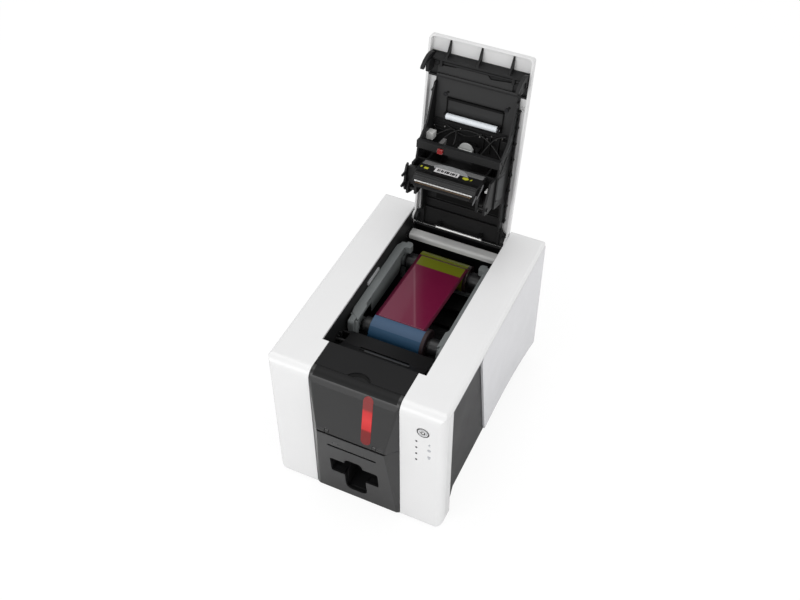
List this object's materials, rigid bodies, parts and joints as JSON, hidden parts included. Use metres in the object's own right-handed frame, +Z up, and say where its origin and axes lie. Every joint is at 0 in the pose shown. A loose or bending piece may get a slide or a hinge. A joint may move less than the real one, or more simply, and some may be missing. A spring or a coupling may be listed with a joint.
{
  "type": "card printer",
  "caption": "Desktop card printer: bulged front with hinged card feeder, top lid carrying the print head, lift-out ribbon cassette and geared card rollers.",
  "frame": {"origin": "on the table, in the middle of the whole box with the lid open", "axes": "+X right seen from the front, +Y to the back, +Z up"},
  "size_m": [0.205, 0.3364, 0.4129],
  "materials": {
    "cover": "gloss white",
    "side": "gloss pale grey",
    "dark": "satin dark grey",
    "black": "satin black",
    "foot": "matt",
    "window": "clear red",
    "steel": "satin",
    "button": "gloss white",
    "led": "clear smoked",
    "board": "green solder mask",
    "gear": "natural acetal",
    "roller": "matt",
    "grey": "satin grey",
    "pale": "satin pale grey",
    "yellow": "dye film",
    "cyan": "dye film",
    "magenta": "dye film",
    "head": "black anodised",
    "label": "satin",
    "flex": "polyimide",
    "white": "satin white",
    "brass": "satin"
  },
  "bodies": {
    "body": {"base_pan": "dark", "rubber_feet": "foot", "left_cover": "cover", "right_cover": "cover", "left_side_panel": "side", "right_side_panel": "side", "left_side_inset": "dark", "right_side_inset": "dark", "rear_panel": "dark", "top_front_cover": "black", "lower_front_panel": "dark", "output_hopper": "black", "card_magazine": "black", "button_guide": "black", "status_leds": "led", "control_board": "board", "left_chassis": "black", "right_chassis": "black", "ribbon_tub": "black", "rear_cross_bar": "grey", "hinge_pins": "steel", "latch_catches": "black", "ribbon_reader": "pale", "card_guide": "black", "drive_motor": "steel", "ribbon_motor": "steel", "main_board": "board", "power_inlet": "black", "data_ports": "steel"},
    "door": {"feeder_door": "dark", "door_window": "window", "door_pin": "steel"},
    "button": {"power_button": "button"},
    "cassette": {"cassette_frame": "grey", "ribbon_web": "magenta"},
    "takeup": {"takeup_core": "black", "takeup_roll": "cyan"},
    "supply": {"supply_core": "black", "supply_roll": "yellow"},
    "ribbon_drive": {"ribbon_drive_gear": "gear"},
    "platen": {"platen_roller": "roller", "platen_gear": "gear"},
    "front_feed": {"front_feed_roller": "roller"},
    "rear_feed": {"rear_feed_roller": "roller"},
    "front_idler": {"front_idler_gear": "gear"},
    "rear_idler": {"rear_idler_gear": "gear"},
    "pinion": {"motor_pinion": "brass"},
    "lid": {"lid_shell": "cover", "lid_frame": "black", "lid_screws": "steel", "head_bracket": "black", "head_springs": "steel", "head_cable": "flex", "fan_housing": "black", "lid_connectors": "white"},
    "head": {"print_head": "head", "head_label": "label"},
    "white_roller": {"lid_roller": "white"},
    "fan": {"fan_rotor": "white"},
    "latch": {"latch_hooks": "black"}
  },
  "joints": [
    {"name": "lid_hinge", "type": "hinge", "parent": "body", "child": "lid", "pos_m": [0, 0.123, 0.186], "axis": [-1, 0, 0], "range_deg": [-99.4, 0], "deforming": ["ribbon_web"]},
    {"name": "door_hinge", "type": "hinge", "parent": "body", "child": "door", "pos_m": [0, -0.164, 0.1237], "axis": [1, 0, 0], "range_deg": [0, 80]},
    {"name": "power_press", "type": "slide", "parent": "body", "child": "button", "axis": [0, 1, 0], "range_m": [0, 0.0012], "stiffness_N_per_m": 400, "springref_m": -0.001},
    {"name": "cassette_lift", "type": "slide", "parent": "body", "child": "cassette", "axis": [0, 0, 1], "range_m": [0, 0.065]},
    {"name": "takeup_spin", "type": "hinge", "parent": "cassette", "child": "takeup", "pos_m": [0, -0.035, 0.153], "axis": [1, 0, 0], "continuous": true},
    {"name": "supply_spin", "type": "hinge", "parent": "cassette", "child": "supply", "pos_m": [0, 0.082, 0.15], "axis": [1, 0, 0], "continuous": true},
    {"name": "ribbon_drive_spin", "type": "hinge", "parent": "body", "child": "ribbon_drive", "pos_m": [0, -0.035, 0.131], "axis": [1, 0, 0], "continuous": true},
    {"name": "platen_spin", "type": "hinge", "parent": "body", "child": "platen", "pos_m": [0, 0.032, 0.0985], "axis": [1, 0, 0], "continuous": true},
    {"name": "front_feed_spin", "type": "hinge", "parent": "body", "child": "front_feed", "pos_m": [0, -0.024, 0.0985], "axis": [1, 0, 0], "continuous": true},
    {"name": "rear_feed_spin", "type": "hinge", "parent": "body", "child": "rear_feed", "pos_m": [0, 0.088, 0.0985], "axis": [1, 0, 0], "continuous": true},
    {"name": "front_idler_spin", "type": "hinge", "parent": "body", "child": "front_idler", "pos_m": [0, 0.004, 0.0985], "axis": [1, 0, 0], "continuous": true},
    {"name": "rear_idler_spin", "type": "hinge", "parent": "body", "child": "rear_idler", "pos_m": [0, 0.06, 0.0985], "axis": [1, 0, 0], "continuous": true},
    {"name": "pinion_spin", "type": "hinge", "parent": "body", "child": "pinion", "pos_m": [0, 0.004, 0.0765], "axis": [1, 0, 0], "continuous": true},
    {"name": "head_pivot", "type": "hinge", "parent": "lid", "child": "head", "pos_m": [0, 0.07852, 0.26634], "axis": [-1, 0, 0], "range_deg": [0, 2.5], "stiffness_Nm_per_rad": 4, "springref_deg": -5.73, "deforming": ["head_springs"]},
    {"name": "lid_roller_spin", "type": "hinge", "parent": "lid", "child": "white_roller", "pos_m": [0, 0.1434, 0.32453], "axis": [1, 0, 0], "continuous": true},
    {"name": "fan_spin", "type": "hinge", "parent": "lid", "child": "fan", "pos_m": [0, 0.12683, 0.29484], "axis": [0, 0.1633, 0.9866], "continuous": true},
    {"name": "latch_release", "type": "hinge", "parent": "lid", "child": "latch", "pos_m": [0, 0.15484, 0.38446], "axis": [-1, 0, 0], "range_deg": [0, 12], "stiffness_Nm_per_rad": 0.3, "springref_deg": -14.32}
  ],
  "couplings": [
    {"joint": "supply_spin", "follows": "takeup_spin", "ratio": 1.125},
    {"joint": "ribbon_drive_spin", "follows": "takeup_spin", "ratio": -1.2},
    {"joint": "front_feed_spin", "follows": "platen_spin", "ratio": 1},
    {"joint": "rear_feed_spin", "follows": "platen_spin", "ratio": 1},
    {"joint": "front_idler_spin", "follows": "platen_spin", "ratio": -0.75},
    {"joint": "rear_idler_spin", "follows": "platen_spin", "ratio": -0.75},
    {"joint": "pinion_spin", "follows": "platen_spin", "ratio": 2}
  ]
}
